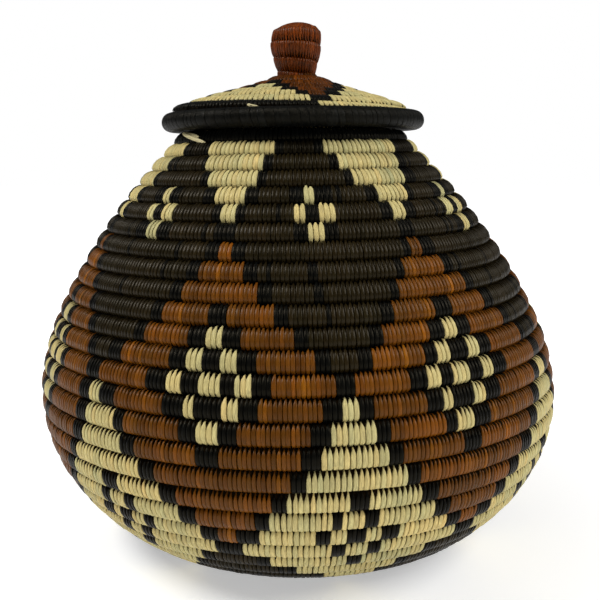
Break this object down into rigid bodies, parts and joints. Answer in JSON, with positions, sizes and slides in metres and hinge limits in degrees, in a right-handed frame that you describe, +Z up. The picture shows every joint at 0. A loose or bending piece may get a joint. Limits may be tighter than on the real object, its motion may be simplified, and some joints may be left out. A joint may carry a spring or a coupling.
{
  "type": "lidded basket",
  "caption": "Round-bellied coiled grass basket on a flat base, with a low domed lid that lifts straight off by its knob.",
  "frame": {"origin": "centre of the flat base, on the surface that the basket stands on", "axes": "+Z up along the basket's middle line, -Y towards the front that the picture shows, +X to its right"},
  "size_m": [0.2571, 0.2571, 0.249],
  "materials": {
    "charcoal_leaf": "dyed palm leaf strip, satin",
    "cream_leaf": "natural palm leaf strip, satin",
    "rust_leaf": "dyed palm leaf strip, satin",
    "black_leaf": "dyed palm leaf strip, satin",
    "grass": "dry grass under natural strip"
  },
  "bodies": {
    "basket": {"base_start": "charcoal_leaf", "base_coil": "charcoal_leaf", "foot_coil": "cream_leaf", "flare_coil": "cream_leaf", "lower_wall_coil": "cream_leaf", "belly_coil": "rust_leaf", "shoulder_coil": "charcoal_leaf", "neck_coil": "black_leaf", "loose_strip": "cream_leaf"},
    "lid": {"knob_core": "rust_leaf", "knob_coil": "rust_leaf", "dome_coil": "cream_leaf", "rim_coil": "black_leaf", "collar_coil": "grass"}
  },
  "joints": [
    {"name": "lid_lift", "type": "slide", "parent": "basket", "child": "lid", "axis": [0, 0, 1], "range_m": [0, 0.12]}
  ]
}
